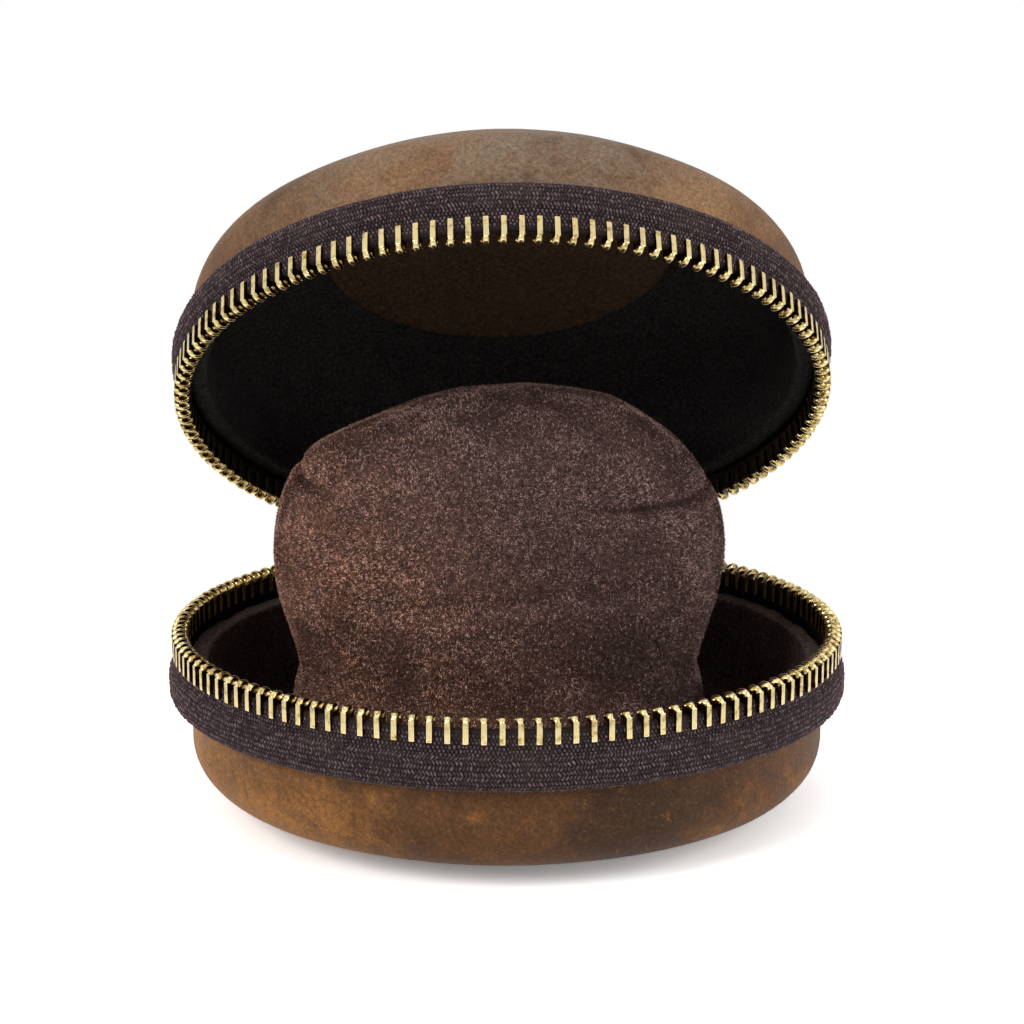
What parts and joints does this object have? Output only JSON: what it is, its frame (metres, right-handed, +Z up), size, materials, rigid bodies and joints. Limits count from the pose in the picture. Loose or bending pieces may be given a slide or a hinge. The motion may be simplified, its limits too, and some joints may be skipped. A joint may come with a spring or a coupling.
{
  "type": "watch travel case",
  "caption": "Round leather clamshell travel case for one wristwatch: two domed shells on a back hinge, a metal zip round the rims and a padded cushion inside.",
  "frame": {"origin": "centre of the flat under the base, on the surface the case stands on", "axes": "+Z up, -Y the front where the lid opens, +Y the hinge side, +X the right-hand side seen from the front; drawn with the lid standing 39 degrees open"},
  "size_m": [0.1034, 0.1157, 0.1024],
  "materials": {
    "leather": "matt waxed pull-up leather, mottled brown",
    "spine_leather": "matt waxed leather strip",
    "board": "moulded stiffening board, not seen",
    "lining": "black-brown suede lining",
    "crown_lining": "dark brown suede panel",
    "zip_tape": "herringbone zip tape, dark purple-brown",
    "brass": "polished antique brass",
    "suede": "plum-brown suede with a short nap",
    "foam": "soft foam filling, not seen"
  },
  "bodies": {
    "lower_shell": {"lower_leather": "leather", "lower_core": "board", "lower_lining_band": "lining", "lower_floor_panel": "lining", "lower_zip_tape": "zip_tape", "lower_zip_teeth": "brass", "lower_zip_stops": "brass", "hinge_spine": "spine_leather", "hinge_gusset": "lining", "slider_body": "brass", "slider_bar": "brass", "cushion_top": "suede", "cushion_band": "suede", "cushion_base": "suede", "cushion_filling": "foam"},
    "lid": {"lid_leather": "leather", "lid_core": "board", "lid_lining_band": "lining", "lid_crown_panel": "crown_lining", "lid_zip_tape": "zip_tape", "lid_zip_teeth": "brass", "lid_zip_stops": "brass"},
    "pull_tab": {"pull_tab": "brass"}
  },
  "joints": [
    {"name": "lid_hinge", "type": "hinge", "parent": "lower_shell", "child": "lid", "pos_m": [0, 0.0505, 0.021], "axis": [-1, 0, 0], "range_deg": [-39, 50], "deforming": ["hinge_spine", "hinge_gusset"]},
    {"name": "pull_tab_swing", "type": "hinge", "parent": "lower_shell", "child": "pull_tab", "pos_m": [0.02979, 0.04588, 0.027], "axis": [0.8387, -0.5446, 0], "range_deg": [0, 150]}
  ]
}
